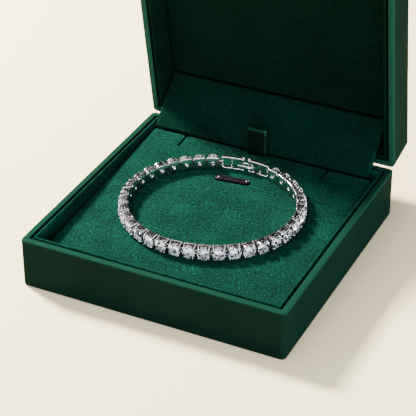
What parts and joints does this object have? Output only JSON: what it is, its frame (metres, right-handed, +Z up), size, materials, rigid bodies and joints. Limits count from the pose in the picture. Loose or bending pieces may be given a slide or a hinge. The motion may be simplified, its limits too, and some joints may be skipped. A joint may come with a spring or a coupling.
{
  "type": "tennis bracelet in an open square display box",
  "caption": "Line bracelet of claw-set round stones with an open-frame clasp, lying in an oval on the sloping velvet pad of a square hinged box, lid open.",
  "frame": {"origin": "centre of the underside of the box's tray", "axes": "+Z up, +Y from the tray's front edge to its hinge, +X to the right seen from the front; lid open at rest"},
  "size_m": [0.09, 0.103, 0.1082],
  "materials": {
    "white_gold": "polished white metal with clear brilliant-cut stones",
    "diamond": "cut and polished clear stone",
    "leatherette": "fine-grained dark green leatherette, satin",
    "pad_velvet": "short-pile green velvet",
    "lining_velvet": "short-pile dark green velvet",
    "satin_ribbon": "dark green satin ribbon",
    "gunmetal": "dark plated metal with a worn edge"
  },
  "bodies": {
    "root": {"tray_shell": "leatherette", "tray_collar": "pad_velvet", "display_pad": "pad_velvet", "pad_bar": "gunmetal", "pull_tab": "satin_ribbon", "hinge_flap": "lining_velvet", "link_01": "white_gold", "link_02": "white_gold", "link_03": "white_gold", "link_04": "white_gold", "link_05": "white_gold", "link_06": "white_gold", "link_07": "white_gold", "link_08": "white_gold", "link_09": "white_gold", "link_10": "white_gold", "link_11": "white_gold", "link_12": "white_gold", "link_13": "white_gold", "link_14": "white_gold", "link_15": "white_gold", "link_16": "white_gold", "link_17": "white_gold", "link_18": "white_gold", "link_19": "white_gold", "link_20": "white_gold", "link_21": "white_gold", "link_22": "white_gold", "link_23": "white_gold", "link_24": "white_gold", "link_25": "white_gold", "link_26": "white_gold", "link_27": "white_gold", "link_28": "white_gold", "link_29": "white_gold", "link_30": "white_gold", "link_31": "white_gold", "link_32": "white_gold", "link_33": "white_gold", "clasp_frame_right": "white_gold", "clasp_frame_left": "white_gold"},
    "lid": {"lid_shell": "leatherette", "lid_collar": "lining_velvet", "lid_panel": "lining_velvet"},
    "catch": {"clasp_catch": "white_gold"}
  },
  "joints": [
    {"name": "lid_hinge", "type": "hinge", "parent": "root", "child": "lid", "pos_m": [0, 0.045, 0.01735], "axis": [1, 0, 0], "range_deg": [-12, 80], "deforming": ["hinge_flap"]},
    {"name": "catch_pivot", "type": "hinge", "parent": "root", "child": "catch", "pos_m": [0.003, 0.02398, 0.01766], "axis": [0, -0.0523, 0.9986], "range_deg": [0, 95]}
  ]
}
